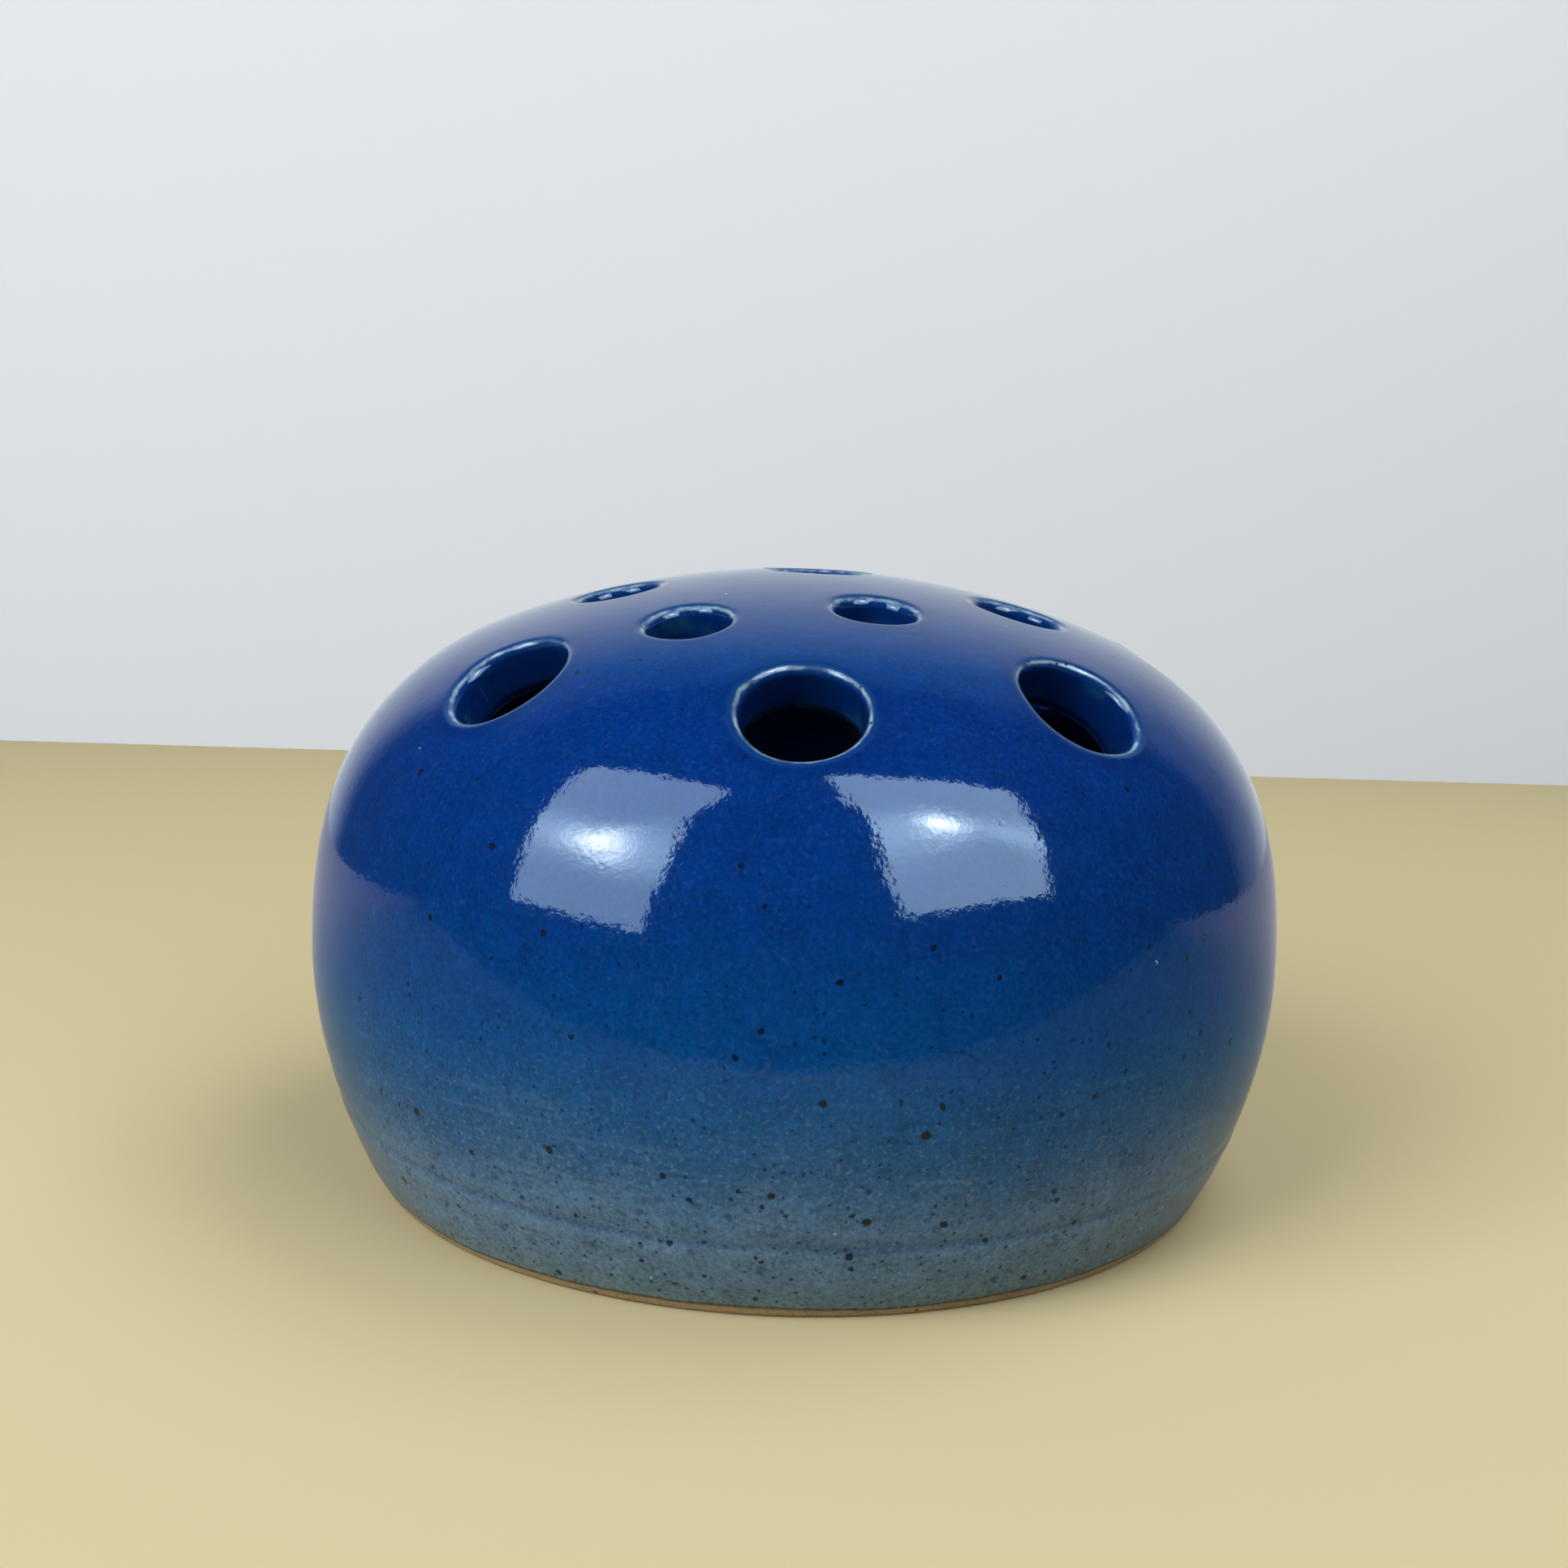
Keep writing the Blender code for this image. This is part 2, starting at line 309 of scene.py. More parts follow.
class Skin:
    """Vertices and faces of one mesh while it is put together."""

    def __init__(self):
        self.blocks = []
        self.count = 0
        self.faces = []
        self.rim = []

    def add(self, points, rim):
        """Add vertices with their distance from the nearest rim, and return their indices."""
        points = np.asarray(points).reshape(-1, 3)
        self.blocks.append(points)
        self.rim.append(np.broadcast_to(rim, len(points)))
        first = self.count
        self.count += len(points)
        return np.arange(first, self.count)

    def band(self, lower, upper):
        """Join two closed rings of the same length with quads."""
        after_lower = np.roll(lower, -1)
        after_upper = np.roll(upper, -1)
        self.faces += np.column_stack((lower, after_lower, after_upper, upper)).tolist()

    def vertices(self):
        """Return all vertices in one array."""
        return np.concatenate(self.blocks)


def flattened(line, points):
    """Unroll points on the dome onto a disc whose radius is the arc length from the crown."""
    radius = np.hypot(points[:, 0], points[:, 1])
    arc = line.dome_arc(radius)
    return points[:, :2] * (arc / np.maximum(radius, 1e-6))[:, None]


def grid_points(line, holes, edge_arc, clear, spacing):
    """Return an even grid over the unrolled dome that keeps clear of the holes."""
    reach = int(edge_arc / spacing) + 2
    rows = np.arange(-reach, reach + 1)
    across, up = np.meshgrid(rows, rows)
    flat = np.column_stack(((across + 0.5 * (up % 2)).ravel(), (up * sqrt(0.75)).ravel())) * spacing
    arc = np.hypot(flat[:, 0], flat[:, 1])
    flat = flat[(arc < edge_arc - 0.7 * spacing) & (arc > 1e-3)]
    arc = np.hypot(flat[:, 0], flat[:, 1])
    radius, height = line.at_arc(arc)
    points = np.column_stack((flat * (radius / arc)[:, None], height))
    gap = nearest_rim(holes, points)
    kept = gap > clear + 0.6 * spacing
    return flat[kept], points[kept], gap[kept]


def nearest_rim(holes, points):
    """Return each point's distance from the nearest bore."""
    return np.min([hole.gap_to(points) for hole in holes], axis=0)


def add_hole_rings(skin, holes, rings_of):
    """Add the rings of every hole.

    Return their outermost loops, how far those reach, and what to add to a distance from a bore
    to turn it into a distance along the surface.
    """
    loops = []
    shifts = []
    clear = 0.0
    for hole in holes:
        made = rings_of(hole)
        rings = [skin.add(points, rim) for points, rim in made]
        for inner, outer in zip(rings, rings[1:]):
            skin.band(inner, outer)
        loops.append(rings[-1])
        last, distance = made[-1]
        gap = hole.gap_to(last)
        clear = max(clear, float(gap.max()))
        shifts.append(distance - float(gap.mean()))
    return loops, clear, shifts[0]


def fill_between(skin, line, loops, flat, scattered):
    """Fill the unrolled dome with triangles between its loops, the last of which is its edge."""
    known = skin.vertices()
    members = np.concatenate(loops + [scattered])
    plan = np.vstack([flattened(line, known[loop]) for loop in loops] + [flat])
    fences = []
    owner = np.full(len(members), -1)
    first = 0
    for number, loop in enumerate(loops):
        size = len(loop)
        fences += [(first + k, first + (k + 1) % size) for k in range(size)]
        if number < len(loops) - 1:
            owner[first:first + size] = number
        first += size
    _, _, triangles, origins, _, _ = delaunay_2d_cdt([Vector(p) for p in plan], fences, [], 0, 1e-6)
    for triangle in triangles:
        corners = [origins[index][0] for index in triangle]
        inside_hole = owner[corners[0]] >= 0 and len({owner[c] for c in corners}) == 1
        if not inside_hole:
            skin.faces.append([int(members[c]) for c in corners])


def add_dome(skin, line, holes, rings_of, edge_radius, spacing):
    """Add the dome with its holes, and return the indices of its lowest ring."""
    loops, clear, rim_shift = add_hole_rings(skin, holes, rings_of)
    edge = around_axis(AZIMUTHS, edge_radius, line.dome_height(edge_radius))
    edge_loop = skin.add(edge, nearest_rim(holes, edge) + rim_shift)
    edge_arc = float(line.dome_arc(edge_radius))
    flat, points, gap = grid_points(line, holes, edge_arc, clear, spacing)
    scattered = skin.add(points, gap + rim_shift)
    fill_between(skin, line, loops + [edge_loop], flat, scattered)
    return edge_loop


def add_rows(skin, line, loop, arcs):
    """Add turned rows under a ring of the mesh, and return the last one."""
    for arc in arcs:
        radius, height = line.at_arc(arc)
        below = skin.add(around_axis(AZIMUTHS, radius, height), FAR_FROM_RIM)
        skin.band(below, loop)
        loop = below
    return loop


def make_piece(name, skin):
    """Make a mesh object in metres from a skin."""
    mesh = bpy.data.meshes.new(name)
    mesh.from_pydata((skin.vertices() * MILLIMETRE).tolist(), [], skin.faces)
    mesh.update()
    item = bpy.data.objects.new(name, mesh)
    bpy.context.scene.collection.objects.link(item)
    store(item, "rim", np.concatenate(skin.rim))
    mesh.shade_smooth()
    return item


def store(item, name, values):
    """Keep one number for each vertex, for the material to read."""
    attribute = item.data.attributes.new(name, "FLOAT", "POINT")
    attribute.data.foreach_set("value", np.asarray(values, dtype=np.float32))


def move_to(item, points):
    """Move the vertices of a piece to new points."""
    item.data.vertices.foreach_set("co", (points * MILLIMETRE).ravel())


def turn_outwards(item, towards_outside=True):
    """Make the faces consistent, and point them away from the axis or towards it."""
    work = bmesh.new()
    work.from_mesh(item.data)
    bmesh.ops.recalc_face_normals(work, faces=work.faces)
    far = max(work.faces, key=lambda face: face.calc_center_median().length)
    looks_out = far.normal.dot(far.calc_center_median()) > 0
    if looks_out != towards_outside:
        bmesh.ops.reverse_faces(work, faces=work.faces)
    work.to_mesh(item.data)
    work.free()


def thicken(item, thickness):
    """Make a skin a coat that lies behind its faces, and return the modifier."""
    solidify = item.modifiers.new("coat", "SOLIDIFY")
    solidify.thickness = thickness * MILLIMETRE
    solidify.offset = -1.0
    return solidify


# ---- traces of the hand

def smooth_step(value, low, high):
    """Rise smoothly from 0 to 1 between two values."""
    share = np.clip((value - low) / (high - low), 0.0, 1.0)
    return share * share * (3.0 - 2.0 * share)


def noise_at(points, size, seed):
    """Return smooth noise of a feature size in millimetres, about -1 to 1, at each point."""
    shift = Vector((seed * 17.3, seed * 5.1, seed * 9.7))
    return np.array([noise.noise(Vector(point) / size + shift) for point in points])


def belt(azimuth, height):
    """Return the trimming line round the foot: a groove between a soft ridge and a fainter groove."""
    above = height - (BELT_HEIGHT + BELT_TILT * (1.0 - np.cos(azimuth - BELT_LOW_SIDE)))
    groove = np.exp(-(above / BELT_WIDTH) ** 2)
    drop, width, share = RIDGE_UNDER
    ridge = share * np.exp(-((above + drop) / width) ** 2)
    lift, width, share = GROOVE_OVER
    fainter = share * np.exp(-((above - lift) / width) ** 2)
    return BELT_DEPTH * (ridge - groove - fainter)


def turned_lines(points):
    """Return the height of the lines that the wheel left: fine rings and the trimming line."""
    azimuth = np.arctan2(points[:, 0], -points[:, 1])
    low = smooth_step(-points[:, 2], -24.0, -4.0)
    rings = noise_at(points * np.array(FLAT), 1.5, 3) * (0.010 + 0.055 * low)
    return rings + belt(azimuth, points[:, 2])


def hand_made(points):
    """Return how far the surface stands off the true outline by its slow waves and ripples."""
    slow = WAVE * (noise_at(points, 24.0, 1) - 1.0) / 2 - SINK
    return slow + RIPPLE * noise_at(points, 5.0, 2)


def outward_at(line, points):
    """Return the outline's normal at the height or radius of each point."""
    radius = np.hypot(points[:, 0], points[:, 1])
    high = points[:, 2] > BELLY_HEIGHT + 20.0
    dome_out, dome_up = line.dome_normal(radius)
    wall_out = np.interp(-points[:, 2], -line.height, line.normal[:, 0])
    wall_up = np.interp(-points[:, 2], -line.height, line.normal[:, 1])
    out = np.where(high, dome_out, wall_out)
    up = np.where(high, dome_up, wall_up)
    around = points[:, :2] / np.maximum(radius, 1e-6)[:, None]
    return np.column_stack((around * out[:, None], up))


# ---- pieces

def glaze_edge(azimuth):
    """Return the height of the glaze's wandering lower edge."""
    ring = np.column_stack((np.sin(azimuth), np.cos(azimuth), np.zeros_like(azimuth))) * FOOT_RADIUS
    return GLAZE_EDGE + EDGE_WANDER * (noise_at(ring, 9.0, 5) + 0.6 * noise_at(ring, 2.6, 6))


def coat_rows(outside):
    """Return the arc lengths of the coat's rows, even at first and fine near its lower edge."""
    start = float(outside.dome_arc(CROWN_EDGE))
    wall = slice(outside.widest - 1, None)
    end = np.interp(-glaze_edge(AZIMUTHS), -outside.height[wall], outside.arc[wall])
    turn = float(np.interp(-FINE_BELOW, -outside.height[wall], outside.arc[wall]))
    rows = int((turn - start) / ROW)
    fine_rows = int((end.mean() - turn) / FINE_ROW)
    arcs = [start + (turn - start) * row / rows for row in range(1, rows + 1)]
    return arcs + [turn + (end - turn) * row / fine_rows for row in range(1, fine_rows + 1)]


def make_outer_coat(outside, inside, holes):
    """Make the outer glaze as a closed coat of its own thickness."""
    skin = Skin()
    loop = add_dome(skin, outside, holes, lambda hole: outer_rings(hole, outside, inside), CROWN_EDGE, GRID)
    add_rows(skin, outside, loop, coat_rows(outside))
    coat = make_piece("cobalt_glaze", skin)
    points = skin.vertices()
    lines = turned_lines(points)
    store(coat, "wheel", lines)
    stand_off = hand_made(points) + lines
    move_to(coat, points + outward_at(outside, points) * stand_off[:, None])
    turn_outwards(coat)
    group = coat.vertex_groups.new(name="thickness")
    full = smooth_step(points[:, 2], GLAZE_EDGE, GLAZE_EDGE + THIN_EDGE)
    for index, weight in enumerate(THINNEST + (1.0 - THINNEST) * full):
        group.add([index], float(weight), "REPLACE")
    thicken(coat, GLAZE).vertex_group = "thickness"
    return coat


def make_liner(inside, holes):
    """Make the liner glaze: the underside of the dome with its holes, the wall and the floor."""
    skin = Skin()
    edge_radius = CROWN_EDGE - WALL
    loop = add_dome(skin, inside, holes, lambda hole: inner_rings(hole, inside), edge_radius, LINER_GRID)
    start = float(inside.dome_arc(edge_radius))
    arcs = np.linspace(start, inside.arc[-1] - 1.5, LINER_ROWS)[1:]
    loop = add_rows(skin, inside, loop, arcs)
    skin.faces.append(loop.tolist())
    liner = make_piece("blue_liner", skin)
    turn_outwards(liner, towards_outside=False)
    thicken(liner, LINER)
    return liner


def pot_section(outside):
    """Return the section of the clay as (radius, height), up the inside and down the outside."""
    depth = BARE_DEPTH + (CLAY_OUT - BARE_DEPTH) * smooth_step(outside.height, *BARE_HEIGHT)
    outer = outside.moved_in(depth)
    outer_part = outer.points[(outer.height < POT_TOP) & (outer.height > 0.55)]
    inner = hollow_line(outside, CLAY_IN, FLOOR - LINER - 0.2)
    inner_part = inner.points[inner.height < POT_TOP][::-1]
    foot = [(FOOT_RADIUS + beyond, height) for beyond, height in POT_FOOT]
    return [*inner_part[1::12], *outer_part[::9], *foot, SOLE_CENTRE]


def make_pot(outside):
    """Make the stoneware under the glaze: the wall up to the shoulder, the floor and the bare foot."""
    skin = Skin()
    loops = []
    for radius, height in pot_section(outside):
        loops.append(skin.add(around_axis(AZIMUTHS, radius, height), FAR_FROM_RIM))
    for above, below in zip(loops, loops[1:]):
        skin.band(below, above)
    skin.faces.append(loops[0].tolist())
    skin.faces.append(loops[-1].tolist())
    pot = make_piece("stoneware_pot", skin)
    points = skin.vertices()
    rough = 0.05 * noise_at(points, 1.1, 8) + 0.05 * noise_at(points, 4.0, 9)
    bare = (points[:, 2] > 0.05) & (points[:, 2] < 3.0)
    around = points[:, :2] / np.maximum(np.hypot(points[:, 0], points[:, 1]), 1e-6)[:, None]
    points[:, :2] += around * (np.where(bare, rough - 0.04, 0.0))[:, None]
    move_to(pot, points)
    turn_outwards(pot)
    return pot


# ---- material nodes

class Nodes:
    """Short hands for building with shader nodes. Lengths are in millimetres."""

    def __init__(self, tree, output):
        self.tree = tree
        self.output = tree.nodes[output]

    def add(self, kind):
        """Add a node."""
        return self.tree.nodes.new("ShaderNode" + kind)

    def socket(self, target, value):
        """Give an input a value or a link."""
        if isinstance(value, bpy.types.NodeSocket):
            self.tree.links.new(value, target)
        elif isinstance(value, (tuple, list)) and len(value) == 3 and target.type == "RGBA":
            target.default_value = (*value, 1.0)
        else:
            target.default_value = value

    def math(self, operation, first, second=0.0, third=0.0):
        """Add a Math node."""
        node = self.add("Math")
        node.operation = operation
        for target, value in zip(node.inputs, (first, second, third)):
            self.socket(target, value)
        return node.outputs[0]

    def times(self, first, second):
        """Multiply two values."""
        return self.math("MULTIPLY", first, second)

    def line(self, value, slope, start):
        """Return a slope times a value, from a start."""
        return self.math("MULTIPLY_ADD", value, slope, start)

    def vector(self, operation, first, second=None, scale=None):
        """Add a Vector Math node and return its vector, or its length for DISTANCE."""
        node = self.add("VectorMath")
        node.operation = operation
        self.socket(node.inputs[0], first)
        if second is not None:
            self.socket(node.inputs[1], second)
        if scale is not None:
            node.inputs["Scale"].default_value = scale
        return node.outputs["Value"] if operation == "DISTANCE" else node.outputs["Vector"]

    def split(self, vector):
        """Return the three parts of a vector."""
        node = self.add("SeparateXYZ")
        self.socket(node.inputs[0], vector)
        return node.outputs

    def noise(self, size, detail, place=None, roughness=0.5, output="Fac"):
        """Return noise of a feature size, about 0 to 1."""
        node = self.add("TexNoise")
        self.socket(node.inputs["Vector"], place or self.place)
        node.inputs["Scale"].default_value = 1.0 / size
        node.inputs["Detail"].default_value = detail
        node.inputs["Roughness"].default_value = roughness
        return node.outputs[output]

    def rise(self, value, low, high):
        """Rise smoothly from 0 to 1 between two values."""
        node = self.add("MapRange")
        node.interpolation_type = "SMOOTHSTEP"
        self.socket(node.inputs["Value"], value)
        self.socket(node.inputs["From Min"], low)
        self.socket(node.inputs["From Max"], high)
        return node.outputs["Result"]

    def fall(self, value, low, high):
        """Fall smoothly from 1 to 0 between two values."""
        return self.math("SUBTRACT", 1.0, self.rise(value, low, high))

    def near(self, value, centre, inner, outer):
        """Return 1 within inner of a centre, falling to 0 at outer."""
        return self.fall(self.math("ABSOLUTE", self.math("SUBTRACT", value, centre)), inner, outer)

    def mix(self, share, first, second):
        """Mix two colours."""
        node = self.add("Mix")
        node.data_type = "RGBA"
        self.socket(node.inputs["Factor"], share)
        self.socket(node.inputs[6], first)
        self.socket(node.inputs[7], second)
        return node.outputs[2]

    def layer(self, colour, mask, strength, paint):
        """Lay a paint over a colour where a mask says."""
        return self.mix(self.times(mask, strength), colour, paint)

    def ramp(self, value, stops):
        """Run a value through a colour ramp of (position, colour) stops."""
        node = self.add("ValToRGB")
        self.socket(node.inputs["Fac"], value)
        elements = node.color_ramp.elements
        for element, (position, colour) in ((elements[0], stops[0]), (elements[1], stops[-1])):
            element.position = position
            element.color = (*colour, 1.0)
        for position, colour in stops[1:-1]:
            elements.new(position).color = (*colour, 1.0)
        return node.outputs["Color"]

    def spots(self, size, radius, share, shift, soft=0.08, place=None):
        """Return scattered round spots of up to a radius, in a share of the cells."""
        node = self.add("TexVoronoi")
        moved = self.vector("ADD", place or self.place, (shift, shift * 2.0, -shift))
        self.socket(node.inputs["Vector"], moved)
        node.inputs["Scale"].default_value = 1.0 / size
        dice = self.add("SeparateColor")
        self.socket(dice.inputs[0], node.outputs["Color"])
        distance = self.times(node.outputs["Distance"], size)
        own = self.line(dice.outputs[1], radius * 0.6, radius * 0.4)
        own = self.times(own, self.math("LESS_THAN", dice.outputs[0], share))
        return self.fall(distance, self.math("SUBTRACT", own, soft), self.math("ADD", own, soft))

    def light(self, colour, strength=1.0):
        """Return even light."""
        node = self.add("Emission")
        self.socket(node.inputs["Color"], colour)
        self.socket(node.inputs["Strength"], strength)
        return node.outputs[0]

    def show(self, shader):
        """Make a shader the surface."""
        self.socket(self.output.inputs["Surface"], shader)

    def show_to(self, ray, share, shader):
        """Let one kind of ray see a share of another shader in place of the surface so far."""
        before = self.output.inputs["Surface"].links[0].from_socket
        path = self.add("LightPath")
        blend = self.add("MixShader")
        self.socket(blend.inputs[0], self.times(share, path.outputs[ray]))
        self.socket(blend.inputs[1], before)
        self.socket(blend.inputs[2], shader)
        self.show(blend.outputs[0])


class Finish(Nodes):
    """The nodes of one material, which know their place on the object."""

    def __init__(self, name):
        self.material = bpy.data.materials.new(name)
        self.material.use_nodes = True
        super().__init__(self.material.node_tree, "Material Output")
        self.shader = self.tree.nodes["Principled BSDF"]
        self.place = self.vector("SCALE", self.add("TexCoord").outputs["Object"], scale=1.0 / MILLIMETRE)

    def give(self, name, value):
        """Set an input of the shader."""
        self.socket(self.shader.inputs[name], value)

    def height(self):
        """Return the height above the table."""
        return self.split(self.place)["Z"]

    def stored(self, name):
        """Return a number kept on the mesh."""
        node = self.add("Attribute")
        node.attribute_name = name
        return node.outputs["Fac"]

    def bent(self, size, reach):
        """Return the place bent by noise of a feature size, to put round marks out of shape."""
        off = self.vector("SUBTRACT", self.noise(size, 2.0, output="Color"), (0.5, 0.5, 0.5))
        return self.vector("ADD", self.place, self.vector("SCALE", off, scale=reach))

    def scaled(self, colour, value):
        """Return a colour made lighter or darker by a value."""
        node = self.add("CombineXYZ")
        for target in node.inputs:
            self.socket(target, value)
        return self.vector("MULTIPLY", colour, node.outputs[0])

    def relief(self, height):
        """Bend the surface by a height in millimetres."""
        node = self.add("Bump")
        node.inputs["Strength"].default_value = 1.0
        node.inputs["Distance"].default_value = MILLIMETRE
        self.socket(node.inputs["Height"], height)
        self.give("Normal", node.outputs["Normal"])


# Large iron specks on the outside: (azimuth in degrees, height, radius)
IRON_SPECKS = [
    (-1.6, 15.4, 0.42), (7.9, 12.5, 0.52), (15.8, 11.7, 0.46), (6.5, 8.3, 0.48), (-42.0, 17.7, 0.50),
    (-24.0, 17.7, 0.46), (2.9, 25.5, 0.40), (27.8, 14.0, 0.36), (12.9, 21.9, 0.44), (14.3, 24.9, 0.36),
    (-39.2, 39.3, 0.34), (-47.6, 52.9, 0.42), (4.2, 37.4, 0.36), (-24.7, 39.9, 0.32), (43.7, 30.9, 0.34),
    (-49.6, 7.1, 0.48), (30.8, 24.1, 0.34), (120.0, 14.0, 0.48), (168.0, 22.0, 0.44), (205.0, 10.5, 0.50),
    (238.0, 27.0, 0.40), (262.0, 15.0, 0.46),
]
CRUMB_ANGLE = radians(168.0)    # the brown crumb in the front left hole, round its bore
CRUMB_DEPTH = 2.75
CRUMB_RADIUS = 0.55

# Colours of the coat from the crown down to its lower edge, as (height, colour)
COAT_COLOURS = [
    (0.0, (0.076, 0.100, 0.088)),
    (2.2, (0.063, 0.097, 0.111)),
    (5.0, (0.055, 0.094, 0.131)),
    (10.5, (0.046, 0.084, 0.130)),
    (17.0, (0.012, 0.046, 0.104)),
    (23.0, (0.0030, 0.034, 0.096)),
    (30.0, (0.0005, 0.024, 0.094)),
    (42.0, (0.0003, 0.0150, 0.083)),
    (60.0, (0.0002, 0.0115, 0.078)),
    (74.0, (0.0002, 0.0150, 0.078)),
]
TALLEST = 80.0                  # height at the end of the colour ramp

# Paints laid over the coat
STREAK = (0.050, 0.100, 0.150)
WHEEL_GROOVE = (0.006, 0.036, 0.100)
WHEEL_RIDGE = (0.066, 0.120, 0.175)
PALE_GRAIN = (0.110, 0.175, 0.235)
FINE_SPECK = (0.001, 0.008, 0.034)
SOFT_SPECK = (0.002, 0.016, 0.055)
COARSE_SPECK = (0.0015, 0.004, 0.012)
PALE_CHIP = (0.30, 0.38, 0.44)
IRON_RING = (0.0015, 0.002, 0.003)
IRON_CORE = (0.011, 0.008, 0.0045)
# Painted shade: the dark ring on the dome round each hole, beside its rim
SHADE_RING_BESIDE_RIM = (0.0003, 0.009, 0.060)
BORE_NAVY = (0.0006, 0.009, 0.052)
BORE_TEAL = (0.005, 0.032, 0.062)
RIM_GLOW = (0.020, 0.110, 0.170)
PALE_BREAK = (0.185, 0.240, 0.265)
PINHOLE = (0.004, 0.006, 0.010)

# Colours of the liner and of the clay
LINER_DEEP = (0.0015, 0.012, 0.060)
LINER_THIN = (0.004, 0.040, 0.130)
LINER_SPECK = (0.002, 0.005, 0.012)
CLAY_DARK = (0.150, 0.098, 0.040)
CLAY_PALE = (0.270, 0.180, 0.076)
CLAY_IRON = (0.030, 0.014, 0.008)
SCORCH = (0.060, 0.035, 0.022)


def crumb_place(outside):
    """Return where the crumb sits in the bore of the front left hole."""
    hole = stem_holes(outside)[len(OUTER_RING) - 1]
    spoke = hole.across * cos(CRUMB_ANGLE) + hole.upslope * sin(CRUMB_ANGLE)
    return hole.centre + spoke * hole.radius.mean() - hole.axis * CRUMB_DEPTH


def iron_marks(nodes):
    """Return the cores and the dark rings of the large iron specks."""
    place = nodes.bent(0.9, 0.7)
    core = 0.0
    ring = 0.0
    outside = finished_outline()
    spots = [(crumb_place(outside), CRUMB_RADIUS)]
    for azimuth, height, radius in IRON_SPECKS:
        wall = np.interp(-height, -outside.height, outside.radius)
        spots.append((around_axis(radians(azimuth), wall, height), radius))
    for spot, radius in spots:
        distance = nodes.vector("DISTANCE", place, tuple(float(v) for v in spot))
        core = nodes.math("MAXIMUM", core, nodes.fall(distance, radius * 0.15, radius * 0.6))
        ring = nodes.math("MAXIMUM", ring, nodes.fall(distance, radius * 0.75, radius * 1.25))
    return core, ring


def coat_colour(nodes, height):
    """Return the colour of the coat by height, drifting as the glaze ran."""
    drift = nodes.times(nodes.math("SUBTRACT", nodes.noise(14.0, 3.0), 0.5), 9.0)
    drift = nodes.times(drift, nodes.rise(height, 0.0, 14.0))
    level = nodes.math("DIVIDE", nodes.math("ADD", height, drift), TALLEST)
    return nodes.ramp(level, [(stop / TALLEST, colour) for stop, colour in COAT_COLOURS])


def mottled(nodes, colour, grain, lowness):
    """Mottle a colour and streak it level, more where the glaze is thin."""
    cloud = nodes.noise(3.2, 3.0)
    mottle = nodes.math("ADD", nodes.times(cloud, 0.30), nodes.times(grain, 0.70))
    strength = nodes.line(lowness, 0.9, 1.6)
    value = nodes.line(nodes.math("SUBTRACT", mottle, 0.5), strength, 1.0)
    lines = nodes.noise(1.1, 3.0, nodes.vector("MULTIPLY", nodes.place, FLAT))
    streaks = nodes.times(nodes.rise(lines, 0.56, 0.72), nodes.times(lowness, 0.35))
    return nodes.mix(streaks, nodes.scaled(colour, value), STREAK)


def wheel_marked(nodes, colour):
    """Darken a colour in the grooves that the wheel left, and thin it over their ridges."""
    wheel = nodes.stored("wheel")
    colour = nodes.layer(colour, nodes.fall(wheel, -0.13, -0.02), 0.42, WHEEL_GROOVE)
    return nodes.layer(colour, nodes.rise(wheel, 0.02, 0.11), 0.35, WHEEL_RIDGE)


def speckled(nodes, colour, lowness):
    """Lay pale grains and dark specks over a colour. Return it, the coarse specks and the iron rings."""
    place = nodes.bent(0.5, 0.55)
    grains = nodes.rise(nodes.noise(0.50, 2.0, roughness=0.6), 0.54, 0.70)
    fine = nodes.spots(0.95, 0.25, nodes.line(lowness, 0.42, 0.22), 11.3, 0.07, place)
    soft = nodes.spots(1.7, 0.55, nodes.line(lowness, 0.20, 0.28), 57.3, 0.18, place)
    coarse = nodes.spots(2.3, 0.42, nodes.line(lowness, 0.26, 0.16), 23.9, 0.07, place)
    chips = nodes.spots(4.5, 0.22, 0.30, 41.0, 0.05, place)
    core, ring = iron_marks(nodes)
    for mask, strength, paint in (
        (grains, nodes.line(lowness, 0.30, 0.03), PALE_GRAIN),
        (fine, 0.80, FINE_SPECK),
        (soft, 0.42, SOFT_SPECK),
        (coarse, 0.92, COARSE_SPECK),
        (chips, 0.6, PALE_CHIP),
        (ring, 0.92, IRON_RING),
        (core, 0.9, IRON_CORE),
    ):
        colour = nodes.layer(colour, mask, strength, paint)
    return colour, coarse, ring


def broken_at_rims(nodes, colour):
    """Break a colour pale over the rims, paint a dark ring of shade beside them, and pool it dark down the
    bores.
    """
    rim = nodes.stored("rim")
    wander = nodes.times(nodes.math("SUBTRACT", nodes.noise(1.1, 3.0), 0.5), 0.50)
    across = nodes.math("ADD", rim, wander)
    bore = nodes.mix(nodes.rise(nodes.noise(4.5, 3.0), 0.52, 0.78), BORE_NAVY, BORE_TEAL)
    patchy = nodes.rise(nodes.noise(2.1, 3.0), 0.34, 0.68)
    patchy = nodes.line(patchy, 0.68, 0.10)
    for mask, strength, paint in (
        # painted shade: a dark ring on the dome beside each rim
        (nodes.near(across, 2.3, 0.5, 1.6), 0.45, SHADE_RING_BESIDE_RIM),
        (nodes.fall(across, 0.0, 1.0), 0.80, bore),
        (nodes.near(across, 1.3, 0.1, 1.0), 0.10, RIM_GLOW),
        (nodes.near(across, 1.18, 0.03, 0.38), patchy, PALE_BREAK),
        (nodes.spots(1.1, 0.22, 0.30, 31.7, 0.05), nodes.near(rim, 1.2, 0.4, 0.9), PINHOLE),
    ):
        colour = nodes.layer(colour, mask, strength, paint)
    return colour


